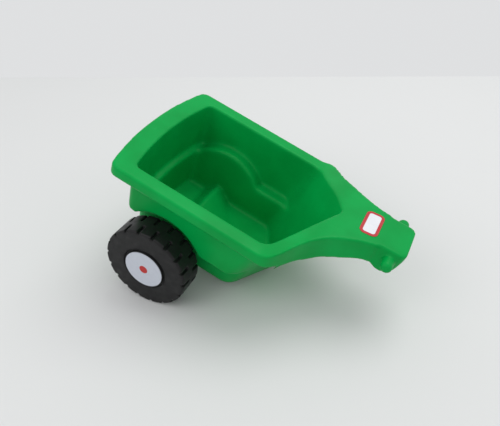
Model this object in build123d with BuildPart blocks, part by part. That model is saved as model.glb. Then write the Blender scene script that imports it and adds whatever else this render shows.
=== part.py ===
from build123d import *
import os
from math import acos, atan2, cos, radians, sin, sqrt

# Two-wheeled toy trailer: one moulded tub with a gooseneck tongue, riding on a wheelset.
# Millimetres.  +X runs towards the tongue, +Y to the left, +Z up, and the floor is Z = 0.
# The origin is under the middle of the trailer.  At rest the trailer stands on its two
# wheels and on the front tip of its tub, so the tub is pitched nose down about the axle.

# ---- wheelset ----
WHEEL_RADIUS = 22.5
WHEEL_WIDTH = 15.0
WHEEL_OUTER_Y = 51.4         # face of the wheel's raised hub, from the middle of the trailer
TYRE_FACE_Y = 50.9           # outer side face of the tyre
WHEEL_SKIN = 2.0
SHOULDER_ROUND = 0.6
LUG_COUNT = 18
NOTCH_DEPTH = 1.3
NOTCH_WIDTH = 1.5
NOTCH_LENGTH = 5.7           # along the axle
NOTCH_PHASE = -88.5          # one outer notch stands almost straight down
RAISED_HUB_RADIUS = 10.8
RAISED_HUB_CHAMFER = 0.2
GROOVE_RADIUS = 11.9         # outer edge of the groove round the raised hub
GROOVE_DEPTH = 1.0           # below the tyre's side face
HUB_RADIUS = 4.5
HUB_PROUD = 0.4              # hub end beyond the inner side face
AXLE_RADIUS = 1.5
AXLE_PRESS_DEPTH = 11.0      # length of axle inside each wheel
AXLE_CHAMFER = 0.3

# ---- tub, in its own frame: origin on the axle, X along the tub, Z square to the rim ----
PITCH = 20.0                 # nose-down pitch at rest, in degrees
WALL = 2.0
RIM_TOP = 43.4
SKIRT_LOW = 37.2
RIM_HALF_WIDTH = 43.9
RIM_REAR_X = -33.2           # rear corners of the rim
RIM_REAR_BOW = 5.3
RIM_CORNER_X = 47.0          # where the straight sides end
V_POINT_ROUND = 6.0          # plan radii of the tub's corners, outside
V_CORNER_ROUND = 9.0
REAR_CORNER_ROUND = 5.0
NOSE_CORNER_ROUND = 3.5
V_SLOPE = 0.5                # forward run of the V front per mm towards the middle
FRONT_X = 53.0               # point of the V, outside, at the axle's height
FRONT_LEAN = 0.33            # forward lean of the front per mm of height
# Half width and rear face at the axle's height, with their change per mm of height.
LOWER_HALF_WIDTH = 28.1
LOWER_FLARE = 0.09
LOWER_REAR_X = -21.1
LOWER_REAR_LEAN = -0.07
LOWER_REAR_BOW = 2.2
UPPER_HALF_WIDTH = 36.6
UPPER_FLARE = 0.025
UPPER_REAR_X = -23.0
UPPER_REAR_LEAN = -0.075
UPPER_REAR_BOW = 3.9
ARCH_CENTRE = (-1.0, -1.0)
ARCH_RADIUS = 24.3           # underside of the arch
FRONT_LEDGE_Z = 12.3         # underside of the front ledge
REAR_LEDGE_Z = 15.8          # underside of the rear ledge
BOTTOM_ROUND = 2.4
TIP_SETBACK = 4.47           # centre of the rounded front tip, behind FRONT_X
TOP_OF_LOWER_TUB = 27.0
TOP_OF_UPPER_FORM = 60.0     # the form is trimmed to the rim's top
TOP_OF_UPPER_ROOM = 70.0     # the room runs out through the open top
CREST_RADIUS = 3.1           # the hump's crest, round about the axle
HUMP_REAR_X = -7.5
HUMP_SIDE_FRONT_X = 7.0
HUMP_MIDDLE_FRONT_X = 26.0
HUMP_HALF_WIDTH = 27.0
TUNNEL_RADIUS = 1.7
TUNNEL_HALF_LENGTH = 24.0
BORE_CLEARANCE = 0.05
BOSS_RADIUS = 4.0
BOSS_END_Y = 35.7

# ---- tongue, in the tub's frame ----
NOSE_X = 103.5
NOSE_HALF_WIDTH = 11.9
FLANK_START_X = 93.0         # the nose's flanks are parallel beyond this, for the pegs to stand on
# Half width of the rim and tongue where the rim sweeps in to the nose, as (x, y).
SWEEP = [(RIM_CORNER_X, RIM_HALF_WIDTH), (54, 39.8), (60, 30.6), (70, 21.3), (80, 15.9), (85, 14.0),
         (90, 12.4), (FLANK_START_X, NOSE_HALF_WIDTH)]
# Top of the gooseneck as (x, z): a curve, then two flats to the nose.
TOP_RISE = [(44, RIM_TOP), (50, 44.9), (60, 50.8), (76, 55.6)]
TOP_FLATS = [(90, 57.6), (99.5, 58.0)]
# Lower edge of the skirt from the tongue back to the rim, and the nose's lower front.
SKIRT_EDGE = [(94, 43.4), (90, 45.3), (80, 42.8), (69, 39.6), (60, 35.8), (54, 34.8), (44, SKIRT_LOW)]
NOSE_FRONT = [(NOSE_X, 54.5), (101.8, 47.5), (97.5, 43.4)]
CHANNEL_END_X = 93.0         # the nose is solid beyond this
PEG_X = 97.4
PEG_Z = 52.65
PEG_RADIUS = 2.9
PEG_TIP_Y = 19.1
PEG_TIP_ROUND = 2.0

# ---- labels ----
TONGUE_LABEL_X = 83.0
TONGUE_LABEL_LENGTH = 17.5   # across the tongue
TONGUE_LABEL_WIDTH = 9.0
TONGUE_LABEL_ROUND = 2.8
LABEL_THICKNESS = 0.2
HUB_LABEL_RADIUS = 10.5

AXLE_X = -46.82              # puts the origin under the middle of the whole trailer
TOO_FAR = 120.0              # reach of blocks that only cut or trim

pitch = radians(PITCH)
# The rounded front tip of the bottom just touches the floor.
tip_centre_x = FRONT_X - TIP_SETBACK
BOTTOM_Z = (tip_centre_x * sin(pitch) + BOTTOM_ROUND - WHEEL_RADIUS) / cos(pitch) - BOTTOM_ROUND
FLOOR_Z = BOTTOM_Z + WALL

AXLE_CENTRE = (AXLE_X, 0, WHEEL_RADIUS)
TUB = Plane(origin=AXLE_CENTRE, x_dir=(cos(pitch), 0, -sin(pitch)), z_dir=(sin(pitch), 0, cos(pitch)))
# Side view of the tub: sketch X is the tub's X and sketch Y is the tub's Z.
SIDE = Plane(origin=AXLE_CENTRE, x_dir=TUB.x_dir, z_dir=(0, -1, 0))
# Side view of the wheelset, whose axle runs along Y.
AXLE_END_VIEW = Plane(origin=AXLE_CENTRE, x_dir=(1, 0, 0), z_dir=(0, -1, 0))


def v_front_outline(z, half_width, rear_x, rear_bow, inset):
    """Plan outline of the tub at height z: bowed tailgate, straight sides and V front."""
    half_width -= inset
    rear_x += inset
    apex = FRONT_X + FRONT_LEAN * z - inset * sqrt(1 + V_SLOPE ** 2)
    corner_x = apex - V_SLOPE * half_width
    with BuildSketch(TUB.offset(z)) as outline:
        with BuildLine():
            Polyline((rear_x, half_width), (corner_x, half_width), (apex, 0),
                     (corner_x, -half_width), (rear_x, -half_width))
            ThreePointArc((rear_x, -half_width), (rear_x - rear_bow, 0), (rear_x, half_width))
        make_face()
        fillet(outline.vertices().sort_by(Axis.X)[-1], V_POINT_ROUND - inset)
        fillet(outline.vertices().sort_by(Axis.X)[2:4], V_CORNER_ROUND - inset)
        fillet(outline.vertices().sort_by(Axis.X)[:2], REAR_CORNER_ROUND - inset)
    return outline.sketch


def lower_outline(z, inset=0):
    """The narrow lower tub, whose sides widen a little upwards."""
    return v_front_outline(z, LOWER_HALF_WIDTH + LOWER_FLARE * z, LOWER_REAR_X + LOWER_REAR_LEAN * z,
                           LOWER_REAR_BOW, inset)


def upper_outline(z, inset=0):
    """The wide upper tub above the wheel arches."""
    return v_front_outline(z, UPPER_HALF_WIDTH + UPPER_FLARE * z, UPPER_REAR_X + UPPER_REAR_LEAN * z,
                           UPPER_REAR_BOW, inset)


def under_ledges(lift):
    """Side view of the room under the ledges and the wheel arch, raised by lift."""
    radius = ARCH_RADIUS + lift
    rear_z = REAR_LEDGE_Z + lift
    front_z = FRONT_LEDGE_Z + lift
    x, z = ARCH_CENTRE
    rear = (x - sqrt(radius ** 2 - (rear_z - z) ** 2), rear_z)
    front = (x + sqrt(radius ** 2 - (front_z - z) ** 2), front_z)
    with BuildSketch(SIDE) as region:
        with BuildLine():
            Polyline(front, (TOO_FAR, front_z), (TOO_FAR, -TOO_FAR), (-TOO_FAR, -TOO_FAR),
                     (-TOO_FAR, rear_z), rear)
            ThreePointArc(rear, (x, z + radius), front)
        make_face()
    return region.sketch


def under_top(drop):
    """Side view of everything under the rim and the gooseneck, lowered by drop."""
    rise = [(x, z - drop) for x, z in TOP_RISE]
    flats = [(x, z - drop) for x, z in TOP_FLATS]
    with BuildSketch(SIDE) as region:
        with BuildLine():
            Line((-TOO_FAR, RIM_TOP - drop), rise[0])
            Spline(*rise, tangents=[(1, 0), (14, 2)])
            Polyline(rise[-1], *flats, (TOO_FAR, flats[-1][1]), (TOO_FAR, -TOO_FAR),
                     (-TOO_FAR, -TOO_FAR), (-TOO_FAR, RIM_TOP - drop))
        make_face()
    return region.sketch


def inset_sweep(inset):
    """The sweep from rim to flank on the left side, moved in square to itself by inset."""
    points = [Vector(x, y) for x, y in SWEEP]
    moved = []
    for here, before, after in zip(points, points[:1] + points[:-1], points[1:] + points[-1:]):
        along = (after - before).normalized()
        moved.append((here.X + along.Y * inset, here.Y - along.X * inset))
    moved[0] = (RIM_CORNER_X, RIM_HALF_WIDTH - inset)
    moved[-1] = (FLANK_START_X, NOSE_HALF_WIDTH - inset)
    return moved


def rim_and_tongue_outline(inset):
    """Plan outline of the rim, which sweeps in from its front corners to the tongue."""
    half_width = RIM_HALF_WIDTH - inset
    rear_x = RIM_REAR_X + inset
    sweep = inset_sweep(inset)
    flank_y = NOSE_HALF_WIDTH - inset
    nose_x = NOSE_X - inset
    with BuildSketch(TUB.offset(-WHEEL_RADIUS)) as outline:
        with BuildLine():
            Line((RIM_CORNER_X, half_width), (rear_x, half_width))
            ThreePointArc((rear_x, half_width), (rear_x - RIM_REAR_BOW, 0), (rear_x, -half_width))
            Line((rear_x, -half_width), (RIM_CORNER_X, -half_width))
            for side in (1, -1):
                Spline(*[(x, side * y) for x, y in sweep], tangents=[(1, 0), (1, 0)])
                Line((FLANK_START_X, side * flank_y), (nose_x, side * flank_y))
            Line((nose_x, -flank_y), (nose_x, flank_y))
        make_face()
        fillet(outline.vertices().sort_by(Axis.X)[:2], REAR_CORNER_ROUND - inset)
        fillet(outline.vertices().sort_by(Axis.X)[-2:], NOSE_CORNER_ROUND - inset)
    return outline.sketch


def skirt_side_view():
    """Side view of the band that the rim, its skirt and the tongue's sides fill."""
    with BuildSketch(SIDE) as band:
        with BuildLine():
            Polyline(SKIRT_EDGE[-1], (-TOO_FAR, SKIRT_LOW), (-TOO_FAR, TOO_FAR), (NOSE_X, TOO_FAR),
                     *NOSE_FRONT, SKIRT_EDGE[0])
            Spline(*SKIRT_EDGE, tangents=[(-1, 0.5), (-1, 0)])
        make_face()
    return band.sketch


# ---- tub: outer form ----
with BuildPart() as rim_block:
    extrude(rim_and_tongue_outline(0), amount=TOO_FAR)
    for profile in (skirt_side_view(), under_top(0)):
        extrude(profile, amount=TOO_FAR, both=True, mode=Mode.INTERSECT)

with BuildPart() as rim_hollow:
    extrude(rim_and_tongue_outline(WALL), amount=TOO_FAR)
    extrude(under_top(WALL), amount=TOO_FAR, both=True, mode=Mode.INTERSECT)
    with BuildSketch(SIDE) as channel:
        with Locations((CHANNEL_END_X, 0)):
            Rectangle(2 * TOO_FAR, 2 * TOO_FAR, align=(Align.MAX, Align.CENTER))
    extrude(amount=TOO_FAR, both=True, mode=Mode.INTERSECT)

with BuildPart() as lower_form:
    loft([lower_outline(BOTTOM_Z), lower_outline(TOP_OF_LOWER_TUB)], ruled=True)
    fillet(lower_form.faces().sort_by(Axis(AXLE_CENTRE, TUB.z_dir))[0].edges(), BOTTOM_ROUND)

with BuildPart() as upper_form:
    loft([upper_outline(0), upper_outline(TOP_OF_UPPER_FORM)], ruled=True)
    extrude(under_ledges(0), amount=TOO_FAR, both=True, mode=Mode.SUBTRACT)
    extrude(under_top(0), amount=TOO_FAR, both=True, mode=Mode.INTERSECT)

# ---- tub: the load space ----
with BuildPart() as lower_room:
    loft([lower_outline(FLOOR_Z, WALL), lower_outline(TOP_OF_LOWER_TUB, WALL)], ruled=True)

with BuildPart() as upper_room:
    loft([upper_outline(0, WALL), upper_outline(TOP_OF_UPPER_ROOM, WALL)], ruled=True)
    extrude(under_ledges(WALL), amount=TOO_FAR, both=True, mode=Mode.SUBTRACT)


# ---- tub: the hump over the axle ----
def hump_section(y, front_x):
    """Section of the hump at y: a round crest about the axle with straight flanks."""
    flanks = []
    for foot_x, turn in ((HUMP_REAR_X, 1), (front_x, -1)):
        # The flank from the foot touches the round crest here.
        reach = sqrt(foot_x ** 2 + FLOOR_Z ** 2)
        angle = atan2(FLOOR_Z, foot_x) - turn * acos(CREST_RADIUS / reach)
        flanks.append((CREST_RADIUS * cos(angle), CREST_RADIUS * sin(angle)))
    with BuildSketch(SIDE.offset(-y)) as section:
        with BuildLine():
            Line((HUMP_REAR_X, FLOOR_Z), flanks[0])
            ThreePointArc(flanks[0], (0, CREST_RADIUS), flanks[1])
            Polyline(flanks[1], (front_x, FLOOR_Z), (front_x, BOTTOM_Z), (HUMP_REAR_X, BOTTOM_Z),
                     (HUMP_REAR_X, FLOOR_Z))
        make_face()
    return section.sketch


with BuildPart() as hump:
    loft([hump_section(-HUMP_HALF_WIDTH, HUMP_SIDE_FRONT_X), hump_section(0, HUMP_MIDDLE_FRONT_X),
          hump_section(HUMP_HALF_WIDTH, HUMP_SIDE_FRONT_X)], ruled=True)

with BuildPart() as tunnel:
    with BuildSketch(SIDE) as tunnel_end:
        Circle(TUNNEL_RADIUS)
        with Locations((0, BOTTOM_Z)):
            Rectangle(2 * TUNNEL_RADIUS, 2 * abs(BOTTOM_Z))
    extrude(amount=TUNNEL_HALF_LENGTH, both=True)

with BuildPart() as bosses:
    with BuildSketch(SIDE):
        Circle(BOSS_RADIUS)
    extrude(amount=BOSS_END_Y, both=True)
    with BuildSketch(SIDE):
        Circle(2 * BOSS_RADIUS)
    extrude(amount=HUMP_HALF_WIDTH, both=True, mode=Mode.SUBTRACT)

with BuildPart() as pegs:
    with BuildSketch(SIDE):
        with Locations((PEG_X, PEG_Z)):
            Circle(PEG_RADIUS)
    extrude(amount=PEG_TIP_Y, both=True)
    fillet(pegs.edges().filter_by(GeomType.CIRCLE), PEG_TIP_ROUND)

# ---- tub ----
with BuildPart() as tub:
    add(rim_block)
    add(rim_hollow, mode=Mode.SUBTRACT)
    add(upper_form)
    add(lower_form)
    add(upper_room, mode=Mode.SUBTRACT)
    add(lower_room, mode=Mode.SUBTRACT)
    add([hump, bosses, pegs])
    add(tunnel, mode=Mode.SUBTRACT)
    with BuildSketch(SIDE):
        Circle(AXLE_RADIUS + BORE_CLEARANCE)
    extrude(amount=TOO_FAR, both=True, mode=Mode.SUBTRACT)
tub.part.label = "tub"


# ---- tongue label ----
# The label lies on the flat from the curve's end to the first flat's end.
(seat_x, seat_z), (flat_x, flat_z) = TOP_RISE[-1], TOP_FLATS[0]
LABEL_SLOPE = (flat_z - seat_z) / (flat_x - seat_x)
label_z = seat_z + LABEL_SLOPE * (TONGUE_LABEL_X - seat_x)
LABEL_SEAT = Plane(origin=TUB.from_local_coords((TONGUE_LABEL_X, 0, label_z)),
                   x_dir=TUB.x_dir + TUB.z_dir * LABEL_SLOPE, z_dir=TUB.z_dir - TUB.x_dir * LABEL_SLOPE)
with BuildPart() as tongue_label:
    with BuildSketch(LABEL_SEAT):
        RectangleRounded(TONGUE_LABEL_WIDTH, TONGUE_LABEL_LENGTH, TONGUE_LABEL_ROUND)
    extrude(amount=LABEL_THICKNESS)
tongue_label.part.label = "tongue_label"

# ---- axle ----
axle_end_y = WHEEL_OUTER_Y - WHEEL_WIDTH + AXLE_PRESS_DEPTH
with BuildPart() as axle:
    with BuildSketch(AXLE_END_VIEW):
        Circle(AXLE_RADIUS)
    extrude(amount=axle_end_y, both=True)
    chamfer(axle.edges().filter_by(GeomType.CIRCLE), AXLE_CHAMFER)
axle.part.label = "axle"


# ---- wheels: hollow mouldings, each with a blind hub bore for the axle ----
def wheel_half_section(side):
    """Section of the wheel as (radius, y) points, without the hollow."""
    outer = side * WHEEL_OUTER_Y
    face = side * TYRE_FACE_Y
    inner = side * (WHEEL_OUTER_Y - WHEEL_WIDTH)
    inward = -side
    return [(0, outer), (RAISED_HUB_RADIUS - RAISED_HUB_CHAMFER, outer),
            (RAISED_HUB_RADIUS, outer + inward * RAISED_HUB_CHAMFER),
            (RAISED_HUB_RADIUS, face + inward * GROOVE_DEPTH),
            (GROOVE_RADIUS, face + inward * GROOVE_DEPTH), (GROOVE_RADIUS, face),
            (WHEEL_RADIUS - SHOULDER_ROUND, face), (WHEEL_RADIUS, face + inward * SHOULDER_ROUND),
            (WHEEL_RADIUS, inner - inward * SHOULDER_ROUND), (WHEEL_RADIUS - SHOULDER_ROUND, inner),
            (HUB_RADIUS, inner), (HUB_RADIUS, inner + inward * HUB_PROUD),
            (0, inner + inward * HUB_PROUD)]


def wheel_hollow_section(side):
    """Section of the closed hollow inside the wheel."""
    outer = side * (TYRE_FACE_Y - GROOVE_DEPTH - WHEEL_SKIN)
    inner = side * (WHEEL_OUTER_Y - WHEEL_WIDTH + WHEEL_SKIN)
    rim = WHEEL_RADIUS - NOTCH_DEPTH - WHEEL_SKIN
    return [(HUB_RADIUS, outer), (rim, outer), (rim, inner), (HUB_RADIUS, inner)]


def make_wheel(side, name):
    """One wheel with its tread notches and blind hub bore."""
    axle_line = Axis(AXLE_CENTRE, (0, 1, 0))
    # Sketch X is the radius above the axle and sketch Y runs along the axle.
    section_plane = Plane(origin=AXLE_CENTRE, x_dir=(0, 0, 1), z_dir=(-1, 0, 0))
    inner_face_y = WHEEL_OUTER_Y - WHEEL_WIDTH
    with BuildPart() as wheel:
        with BuildSketch(section_plane):
            with BuildLine():
                Polyline(*wheel_half_section(side), close=True)
            make_face()
            with BuildLine():
                Polyline(*wheel_hollow_section(side), close=True)
            make_face(mode=Mode.SUBTRACT)
        revolve(axis=axle_line)
        # Two staggered rows of tread notches, one from each side face.
        for row_y, phase in ((TYRE_FACE_Y - NOTCH_LENGTH, 0), (inner_face_y, 180 / LUG_COUNT)):
            row_start = Plane(origin=(AXLE_X, side * row_y, WHEEL_RADIUS), x_dir=(1, 0, 0),
                              z_dir=(0, side, 0))
            with BuildSketch(row_start):
                turn = side * (NOTCH_PHASE + phase)
                with PolarLocations(WHEEL_RADIUS, LUG_COUNT, start_angle=-turn):
                    Rectangle(2 * NOTCH_DEPTH, NOTCH_WIDTH)
            extrude(amount=NOTCH_LENGTH, mode=Mode.SUBTRACT)
        with BuildSketch(AXLE_END_VIEW.offset(-side * axle_end_y)):
            Circle(AXLE_RADIUS)
        extrude(amount=side * (AXLE_PRESS_DEPTH + HUB_PROUD), mode=Mode.SUBTRACT)
    wheel.part.label = name
    export_step(wheel.part, f"parts/{name}.step")


def make_hub_label(side, name):
    """The disc on the raised hub of one wheel."""
    seat_y = side * WHEEL_OUTER_Y
    with BuildPart() as hub_label:
        with BuildSketch(Plane(origin=(AXLE_X, seat_y, WHEEL_RADIUS), z_dir=(0, side, 0))):
            Circle(HUB_LABEL_RADIUS)
        extrude(amount=LABEL_THICKNESS)
    hub_label.part.label = name
    export_step(hub_label.part, f"parts/{name}.step")


os.makedirs("parts", exist_ok=True)
for side, hand in ((1, "left"), (-1, "right")):
    make_wheel(side, f"wheel_{hand}")
    make_hub_label(side, f"hub_label_{hand}")
export_step(tub.part, "parts/tub.step")
export_step(axle.part, "parts/axle.step")
export_step(tongue_label.part, "parts/tongue_label.step")
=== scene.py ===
from math import cos, pi, radians, sin

import bpy
import numpy as np
from mathutils import Matrix, Vector


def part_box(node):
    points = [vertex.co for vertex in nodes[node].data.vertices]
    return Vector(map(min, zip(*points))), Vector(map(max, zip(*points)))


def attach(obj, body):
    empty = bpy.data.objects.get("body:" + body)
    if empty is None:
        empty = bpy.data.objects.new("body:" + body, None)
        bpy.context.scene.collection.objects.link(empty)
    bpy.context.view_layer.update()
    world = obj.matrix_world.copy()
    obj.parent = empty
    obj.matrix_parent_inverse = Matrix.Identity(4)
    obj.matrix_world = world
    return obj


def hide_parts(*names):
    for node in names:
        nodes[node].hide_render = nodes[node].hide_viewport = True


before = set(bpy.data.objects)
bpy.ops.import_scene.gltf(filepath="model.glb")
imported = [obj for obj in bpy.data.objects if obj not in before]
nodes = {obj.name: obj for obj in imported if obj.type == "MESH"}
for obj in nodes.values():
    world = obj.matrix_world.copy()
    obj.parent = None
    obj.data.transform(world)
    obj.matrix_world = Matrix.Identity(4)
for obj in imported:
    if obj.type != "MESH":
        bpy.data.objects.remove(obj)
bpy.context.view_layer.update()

# ---- places, in metres, from the frame ----
MM = 0.001
PITCH = radians(20)                       # nose-down pitch of the tub at rest
wheel_low, wheel_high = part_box("wheel_right")
AXLE = (wheel_low + wheel_high) / 2
AXLE.y = 0
label_low, label_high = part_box("tongue_label")
LABEL = (label_low + label_high) / 2

# ---- regions of the tub, in its own frame: mm from the axle's centre, Z square to the rim ----
PEG_X = 97.4
PEG_Z = 52.65
PEG_ROOT_Y = 12.3                         # just outside the nose's flank
PEG_REACH = 4.6                           # from a peg's own axis
CREST_REACH = 5.2                         # from the wheels' axis, taking in the hump's crest
ROOM_HALF_WIDTH = 36
ROOM_REAR_X = -27
ROOM_FRONT_X = 51
ROOM_FRONT_LEAN = 0.33                    # forward lean of the front per mm of height
ROOM_LOW_Z = -5.2
ROOM_TOP_Z = 38

# ---- labels ----
HUB_LABEL_RADIUS = 10.5 * MM
HUB_LABEL_EDGE = 0.4 * MM                 # width of its darker edge
DOT_INSIDE = 2.15 * MM                    # the dot's edge blurs from here
DOT_OUTSIDE = 2.45 * MM
TONGUE_LABEL_HALF_WIDTH = 4.5 * MM
TONGUE_LABEL_HALF_LENGTH = 8.75 * MM      # across the tongue
TONGUE_LABEL_ROUND = 2.8 * MM
TONGUE_LABEL_RISE = 0.1419                # its slope along the tub, in radians
BORDER_WIDTH = 1.5 * MM
BORDER_BLUR = 0.12 * MM

# ---- wheels ----
TREAD_FOOT_RADIUS = 19 * MM
TREAD_RADIUS = 22.5 * MM
RING_PITCH = 0.9 * MM                     # between the fine rings on the side faces

# ---- smoothing of the moulding's edges ----
TUB_VOXEL = 0.5 * MM
WHEEL_VOXEL = 0.3 * MM
EDGE_PASSES = 13
ROOM_PASSES = 48                          # softer corners inside the load space
FINE_PASSES = 3                           # the pegs and the hump's crest keep their size
WHEEL_PASSES = 3
EASING_ROUNDS = 6                         # evens out the number of passes between regions
TUB_KEEP = 0.7                            # share of the triangles kept by the thinning
WHEEL_KEEP = 0.35


# ---- node helpers ----
class Graph:
    """A material's node tree, with short ways to add and link nodes."""

    def __init__(self, name):
        self.material = bpy.data.materials.new(name)
        self.material.use_nodes = True
        self.tree = self.material.node_tree
        self.shader = self.tree.nodes["Principled BSDF"]

    def link(self, source, target):
        self.tree.links.new(source, target)

    def put(self, socket, value):
        """Links value to the socket if it is an output, and sets it otherwise."""
        if isinstance(value, bpy.types.NodeSocket):
            self.link(value, socket)
        else:
            socket.default_value = value

    def position(self):
        return self.tree.nodes.new("ShaderNodeTexCoord").outputs["Object"]

    def math(self, operation, a, b=0.0, c=0.0):
        node = self.tree.nodes.new("ShaderNodeMath")
        node.operation = operation
        for socket, value in zip(node.inputs, (a, b, c)):
            self.put(socket, value)
        return node.outputs[0]

    def split(self, vector):
        node = self.tree.nodes.new("ShaderNodeSeparateXYZ")
        self.link(vector, node.inputs[0])
        return node.outputs

    def vector(self, operation, a, b):
        node = self.tree.nodes.new("ShaderNodeVectorMath")
        node.operation = operation
        self.put(node.inputs[0], a)
        self.put(node.inputs[1], b)
        return node.outputs["Value" if operation == "DOT_PRODUCT" else "Vector"]

    def length(self, a, b):
        """Length of the pair (a, b)."""
        squares = [self.math("MULTIPLY", side, side) for side in (a, b)]
        return self.math("SQRT", self.math("ADD", *squares))

    def wheel_radius(self):
        """Distance from the line through the wheels' centres."""
        x, _, z = self.split(self.vector("SUBTRACT", self.position(), tuple(AXLE)))
        return self.length(x, z)

    def noise(self, scale, detail=3.0, stretch=None):
        place = self.position()
        if stretch:
            place = self.vector("MULTIPLY", place, stretch)
        node = self.tree.nodes.new("ShaderNodeTexNoise")
        self.link(place, node.inputs["Vector"])
        node.inputs["Scale"].default_value = scale
        node.inputs["Detail"].default_value = detail
        return node.outputs["Fac"]

    def between(self, value, low, high, out_low, out_high):
        """Maps low..high smoothly to out_low..out_high."""
        node = self.tree.nodes.new("ShaderNodeMapRange")
        node.interpolation_type = "SMOOTHSTEP"
        for socket, number in zip(node.inputs, (value, low, high, out_low, out_high)):
            self.put(socket, number)
        return node.outputs[0]

    def mix(self, factor, a, b):
        node = self.tree.nodes.new("ShaderNodeMix")
        node.data_type = "RGBA"
        self.put(node.inputs["Factor"], factor)
        self.put(node.inputs[6], a)
        self.put(node.inputs[7], b)
        return node.outputs[2]

    def bump(self, heights):
        """Chains bumps given as (height, strength, distance in metres)."""
        normal = None
        for height, strength, distance in heights:
            node = self.tree.nodes.new("ShaderNodeBump")
            self.link(height, node.inputs["Height"])
            node.inputs["Strength"].default_value = strength
            node.inputs["Distance"].default_value = distance
            if normal:
                self.link(normal, node.inputs["Normal"])
            normal = node.outputs[0]
        self.link(normal, self.shader.inputs["Normal"])


# ---- materials ----
def green_plastic():
    """Satin green moulded plastic, with faint mottling, grain and handling scuffs."""
    g = Graph("green_plastic")
    mottle = g.between(g.noise(45), 0.3, 0.7, 0, 1)
    scuff = g.between(g.noise(420, 5, (1, 0.25, 1)), 0.66, 0.78, 0, 1)
    base = g.mix(mottle, (0.0003, 0.300, 0.052, 1), (0.0007, 0.355, 0.066, 1))
    g.link(g.mix(g.math("MULTIPLY", scuff, 0.16), base, (0.03, 0.40, 0.12, 1)),
           g.shader.inputs["Base Color"])
    rough = g.between(g.noise(160), 0.3, 0.7, 0.30, 0.38)
    g.link(g.math("MULTIPLY_ADD", scuff, 0.14, rough), g.shader.inputs["Roughness"])
    g.shader.inputs["Specular IOR Level"].default_value = 0.10
    g.bump([(g.noise(2600, 2), 0.10, 0.00004), (g.noise(70, 2), 0.18, 0.00025)])
    return g.material


def black_plastic():
    """Satin black of the wheels, with moulding grain and dust that thins towards the tread."""
    g = Graph("black_plastic")
    radius = g.wheel_radius()
    dust = g.math("MULTIPLY", g.between(g.noise(260, 5), 0.45, 0.75, 0, 0.5),
                  g.between(radius, TREAD_FOOT_RADIUS, TREAD_RADIUS, 1.0, 0.25))
    g.link(g.mix(dust, (0.0080, 0.0080, 0.0084, 1), (0.028, 0.028, 0.028, 1)),
           g.shader.inputs["Base Color"])
    g.link(g.between(g.noise(300), 0.3, 0.7, 0.36, 0.50), g.shader.inputs["Roughness"])
    g.shader.inputs["Specular IOR Level"].default_value = 0.24
    # Fine rings round the axle on the side faces.
    rings = g.math("SINE", g.math("MULTIPLY", radius, 2 * pi / RING_PITCH))
    g.bump([(g.noise(1900, 2), 0.18, 0.00005), (rings, 0.10, 0.00003)])
    return g.material


def axle_steel():
    """Drawn steel rod: fine scratches along the rod."""
    g = Graph("axle_steel")
    drawn = g.noise(900, 4, (1, 0.04, 1))
    g.link(g.mix(drawn, (0.42, 0.42, 0.44, 1), (0.68, 0.68, 0.70, 1)), g.shader.inputs["Base Color"])
    g.link(g.between(drawn, 0.3, 0.7, 0.24, 0.42), g.shader.inputs["Roughness"])
    g.shader.inputs["Metallic"].default_value = 1.0
    g.bump([(drawn, 0.2, 0.00003)])
    return g.material


def hub_label():
    """Silver-grey printed disc with a red dot on the wheel's centre."""
    g = Graph("silver_label")
    radius = g.wheel_radius()
    silver = g.mix(g.noise(500, 4), (0.50, 0.53, 0.60, 1), (0.57, 0.60, 0.67, 1))
    dot = g.between(radius, DOT_INSIDE, DOT_OUTSIDE, 1, 0)
    edge = g.between(radius, HUB_LABEL_RADIUS - HUB_LABEL_EDGE, HUB_LABEL_RADIUS, 0, 0.35)
    face = g.mix(dot, silver, (0.46, 0.012, 0.010, 1))
    g.link(g.mix(edge, face, (0.25, 0.27, 0.29, 1)), g.shader.inputs["Base Color"])
    g.link(g.between(g.noise(220), 0.3, 0.7, 0.34, 0.5), g.shader.inputs["Roughness"])
    g.bump([(g.noise(900, 2), 0.08, 0.00003)])
    return g.material


def tongue_label():
    """White printed label with a red border, left without lettering."""
    g = Graph("tongue_label")
    place = g.vector("SUBTRACT", g.position(), tuple(LABEL))
    slope = PITCH - TONGUE_LABEL_RISE
    along = g.math("ABSOLUTE", g.vector("DOT_PRODUCT", place, (cos(slope), 0, -sin(slope))))
    across = g.math("ABSOLUTE", g.split(place)[1])
    # How far a point lies outside the rectangle through the corners' centres.
    dx = g.math("MAXIMUM", g.math("SUBTRACT", along, TONGUE_LABEL_HALF_WIDTH - TONGUE_LABEL_ROUND), 0.0)
    dy = g.math("MAXIMUM", g.math("SUBTRACT", across, TONGUE_LABEL_HALF_LENGTH - TONGUE_LABEL_ROUND), 0.0)
    white_end = TONGUE_LABEL_ROUND - BORDER_WIDTH
    red = g.between(g.length(dx, dy), white_end - BORDER_BLUR, white_end + BORDER_BLUR, 0, 1)
    white = g.mix(g.noise(350, 4), (0.72, 0.73, 0.78, 1), (0.80, 0.81, 0.84, 1))
    ink = g.mix(g.noise(400, 3), (0.44, 0.010, 0.016, 1), (0.52, 0.016, 0.022, 1))
    g.link(g.mix(red, white, ink), g.shader.inputs["Base Color"])
    g.link(g.between(g.noise(240), 0.3, 0.7, 0.24, 0.36), g.shader.inputs["Roughness"])
    g.bump([(g.noise(700, 2), 0.06, 0.00003)])
    return g.material


def paper():
    """Pale floor paper with a very faint cloudiness."""
    g = Graph("floor_paper")
    light = (0.705, 0.71, 0.705)
    cloud = tuple(part * 0.985 for part in light)
    g.link(g.mix(g.noise(14, 3), light + (1,), cloud + (1,)), g.shader.inputs["Base Color"])
    g.shader.inputs["Roughness"].default_value = 0.75
    return g.material


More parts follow.
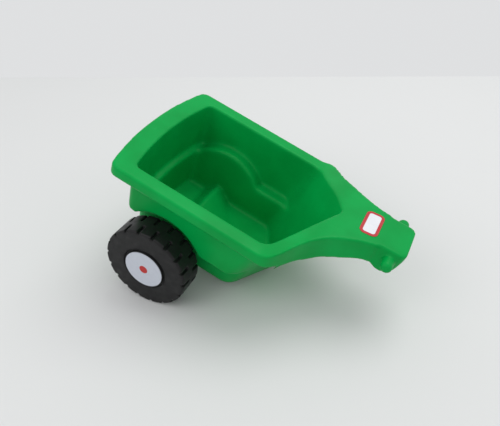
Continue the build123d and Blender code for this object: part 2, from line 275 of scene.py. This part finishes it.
# ---- moulded pieces ----
def tub_coordinates(points):
    """Row-frame points as (x, y, z) of the tub's own frame, in mm from the axle's centre."""
    x = (points[:, 0] - AXLE.x) / MM
    z = (points[:, 2] - AXLE.z) / MM
    return x * cos(PITCH) - z * sin(PITCH), points[:, 1] / MM, x * sin(PITCH) + z * cos(PITCH)


def tub_passes(points):
    """How many smoothing passes each point of the tub gets."""
    x, y, z = tub_coordinates(points)
    passes = np.full(len(points), float(EDGE_PASSES))
    room = (np.abs(y) < ROOM_HALF_WIDTH) & (x > ROOM_REAR_X) & (x < ROOM_FRONT_X + ROOM_FRONT_LEAN * z)
    room &= (z > ROOM_LOW_Z) & (z < ROOM_TOP_Z)
    passes[room] = ROOM_PASSES
    crest = np.hypot(x, z) < CREST_REACH
    pegs = (np.abs(y) > PEG_ROOT_Y) & (np.hypot(x - PEG_X, z - PEG_Z) < PEG_REACH)
    passes[crest | pegs] = FINE_PASSES
    return passes


def wheel_passes(points):
    """The same number of smoothing passes all over a wheel."""
    return np.full(len(points), float(WHEEL_PASSES))


def relax(mesh, passes_at):
    """Rounds the mesh's edges: each point moves to its neighbours' middle, pass by pass."""
    points = np.empty(len(mesh.vertices) * 3)
    mesh.vertices.foreach_get("co", points)
    points = points.reshape(-1, 3)
    ends = np.empty(len(mesh.edges) * 2, int)
    mesh.edges.foreach_get("vertices", ends)
    a, b = ends.reshape(-1, 2).T
    count = np.bincount(np.r_[a, b], minlength=len(points))
    passes = passes_at(points)
    # The number of passes itself changes gently from place to place.
    for _ in range(EASING_ROUNDS):
        total = np.bincount(a, passes[b], len(points)) + np.bincount(b, passes[a], len(points))
        passes = (passes + total / count) / 2
    for step in range(int(passes.max()) + 1):
        share = 0.5 * np.clip(passes - step, 0, 1)
        for axis in range(3):
            line = points[:, axis]
            total = np.bincount(a, line[b], len(points)) + np.bincount(b, line[a], len(points))
            points[:, axis] = line + share * (total / count - line)
    mesh.vertices.foreach_set("co", points.ravel())
    mesh.update()


def apply_modifiers(piece):
    """Makes the piece's mesh what its modifiers show."""
    depsgraph = bpy.context.evaluated_depsgraph_get()
    mesh = bpy.data.meshes.new_from_object(piece.evaluated_get(depsgraph))
    piece.modifiers.clear()
    piece.data = mesh


def moulded(node, body, material, voxel, passes_at, keep):
    """A moulded piece with rounded edges that stands for the CAD node."""
    piece = bpy.data.objects.new(node + "_moulded", nodes[node].data.copy())
    bpy.context.scene.collection.objects.link(piece)
    remesh = piece.modifiers.new("even", "REMESH")
    remesh.mode = "VOXEL"
    remesh.voxel_size = voxel
    apply_modifiers(piece)
    relax(piece.data, passes_at)
    thin = piece.modifiers.new("thin", "DECIMATE")
    thin.ratio = keep
    apply_modifiers(piece)
    piece.data.materials.clear()
    piece.data.materials.append(material)
    piece.data.polygons.foreach_set("use_smooth", [True] * len(piece.data.polygons))
    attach(piece, body)
    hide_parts(node)
    return piece


def repaint(node, material):
    """Gives the CAD node itself a material."""
    nodes[node].data.materials.clear()
    nodes[node].data.materials.append(material)


moulded("tub", "tub", green_plastic(), TUB_VOXEL, tub_passes, TUB_KEEP)
wheel_black = black_plastic()
for hand in ("left", "right"):
    moulded("wheel_" + hand, "wheelset", wheel_black, WHEEL_VOXEL, wheel_passes,
            WHEEL_KEEP)
silver = hub_label()
for hand in ("left", "right"):
    repaint("hub_label_" + hand, silver)
repaint("tongue_label", tongue_label())
repaint("axle", axle_steel())

# ---- floor ----
CAMERA_AT = Vector((0.086155, -0.206328, 0.202131))
AZIMUTH = radians(25.749)
ELEVATION = radians(36.377)
ROLL = radians(-0.143)
FLOOR_END = 0.495                         # far edge of the floor, ahead of the camera
FLOOR_REACH = 2                           # behind the camera and to either side of it
ahead = Vector((-sin(AZIMUTH), cos(AZIMUTH), 0))
aside = Vector((cos(AZIMUTH), sin(AZIMUTH), 0))
foot = Vector((CAMERA_AT.x, CAMERA_AT.y, 0))


def floor_sheet():
    """Pale paper floor, ending in a straight far edge square to the view."""
    corners = [foot + ahead * along + aside * across
               for along, across in ((-FLOOR_REACH, -FLOOR_REACH), (-FLOOR_REACH, FLOOR_REACH),
                                     (FLOOR_END, FLOOR_REACH), (FLOOR_END, -FLOOR_REACH))]
    mesh = bpy.data.meshes.new("floor")
    mesh.from_pydata([tuple(c) for c in corners], [], [(0, 1, 2, 3)])
    sheet = bpy.data.objects.new("floor", mesh)
    bpy.context.scene.collection.objects.link(sheet)
    mesh.materials.append(paper())


floor_sheet()


# ---- light and camera ----
LIGHT_AIM = Vector((0, 0, 0.03))


def soft_light(name, place, size, power):
    """A round area light aimed at the trailer."""
    data = bpy.data.lights.new(name, "AREA")
    data.shape = "DISK"
    data.size = size
    data.energy = power
    light = bpy.data.objects.new(name, data)
    light.location = place
    light.rotation_euler = (LIGHT_AIM - Vector(place)).to_track_quat("-Z", "Y").to_euler()
    bpy.context.scene.collection.objects.link(light)


soft_light("key", (0.15, 0.30, 0.75), 0.55, 2.2)
soft_light("fill", (-0.35, -0.55, 0.60), 0.6, 1.3)

world = bpy.data.worlds.new("studio")
world.use_nodes = True
background = world.node_tree.nodes["Background"]
background.inputs["Color"].default_value = (0.86, 0.87, 0.88, 1)
background.inputs["Strength"].default_value = 0.86
bpy.context.scene.world = world

back = Vector((sin(AZIMUTH) * cos(ELEVATION), -cos(AZIMUTH) * cos(ELEVATION), sin(ELEVATION)))
level_up = back.cross(aside)
right = aside * cos(ROLL) + level_up * sin(ROLL)
up = level_up * cos(ROLL) - aside * sin(ROLL)
camera_data = bpy.data.cameras.new("camera")
camera_data.sensor_width = 36
camera_data.lens = 38.83
camera_data.clip_start = 0.005
camera = bpy.data.objects.new("camera", camera_data)
camera.matrix_world = Matrix((right, up, back)).transposed().to_4x4()
camera.location = CAMERA_AT
bpy.context.scene.collection.objects.link(camera)
bpy.context.scene.camera = camera

# Plain display colours, so that the plastic's green stays as saturated as it is.
bpy.context.scene.view_settings.view_transform = "Standard"
